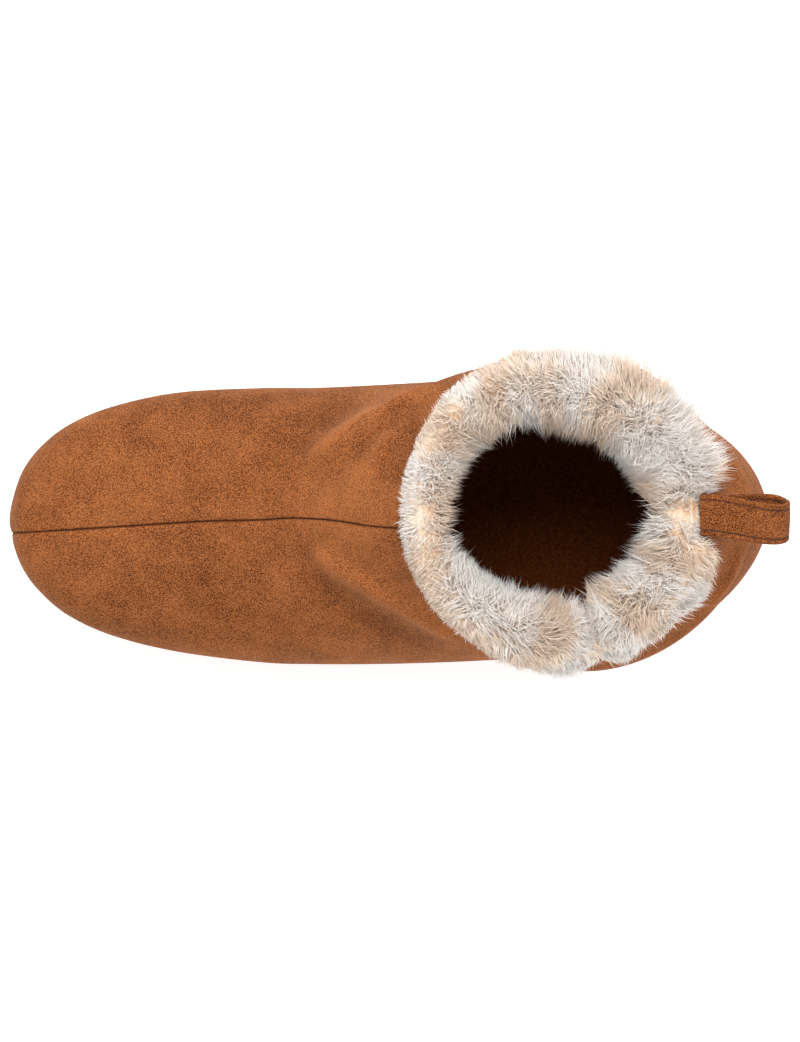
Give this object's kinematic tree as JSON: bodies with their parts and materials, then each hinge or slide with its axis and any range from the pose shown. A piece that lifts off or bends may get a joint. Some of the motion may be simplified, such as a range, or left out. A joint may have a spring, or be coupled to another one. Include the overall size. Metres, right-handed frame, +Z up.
{
  "type": "bootie slipper",
  "caption": "Left ankle-height suede bootie slipper with a deep fur collar, a slouched shaft, a back pull loop and a thin ribbed rubber sole.",
  "frame": {"origin": "on the floor under the middle of the heel seat, 45 mm ahead of the back of the heel", "axes": "+X runs back from the toe to the heel, +Y to the inner (medial) side of the left foot, +Z up"},
  "size_m": [0.2599, 0.1103, 0.1222],
  "materials": {
    "suede": "matt napped tan suede",
    "sole_rubber": "matt brown moulded rubber",
    "plush": "dark brown short-pile plush",
    "fur": "long soft cream pile with tan-tipped patches"
  },
  "bodies": {
    "root": {"upper": "suede", "outsole": "sole_rubber", "insole": "plush", "fur_collar": "fur", "pull_loop": "suede"}
  },
  "joints": []
}
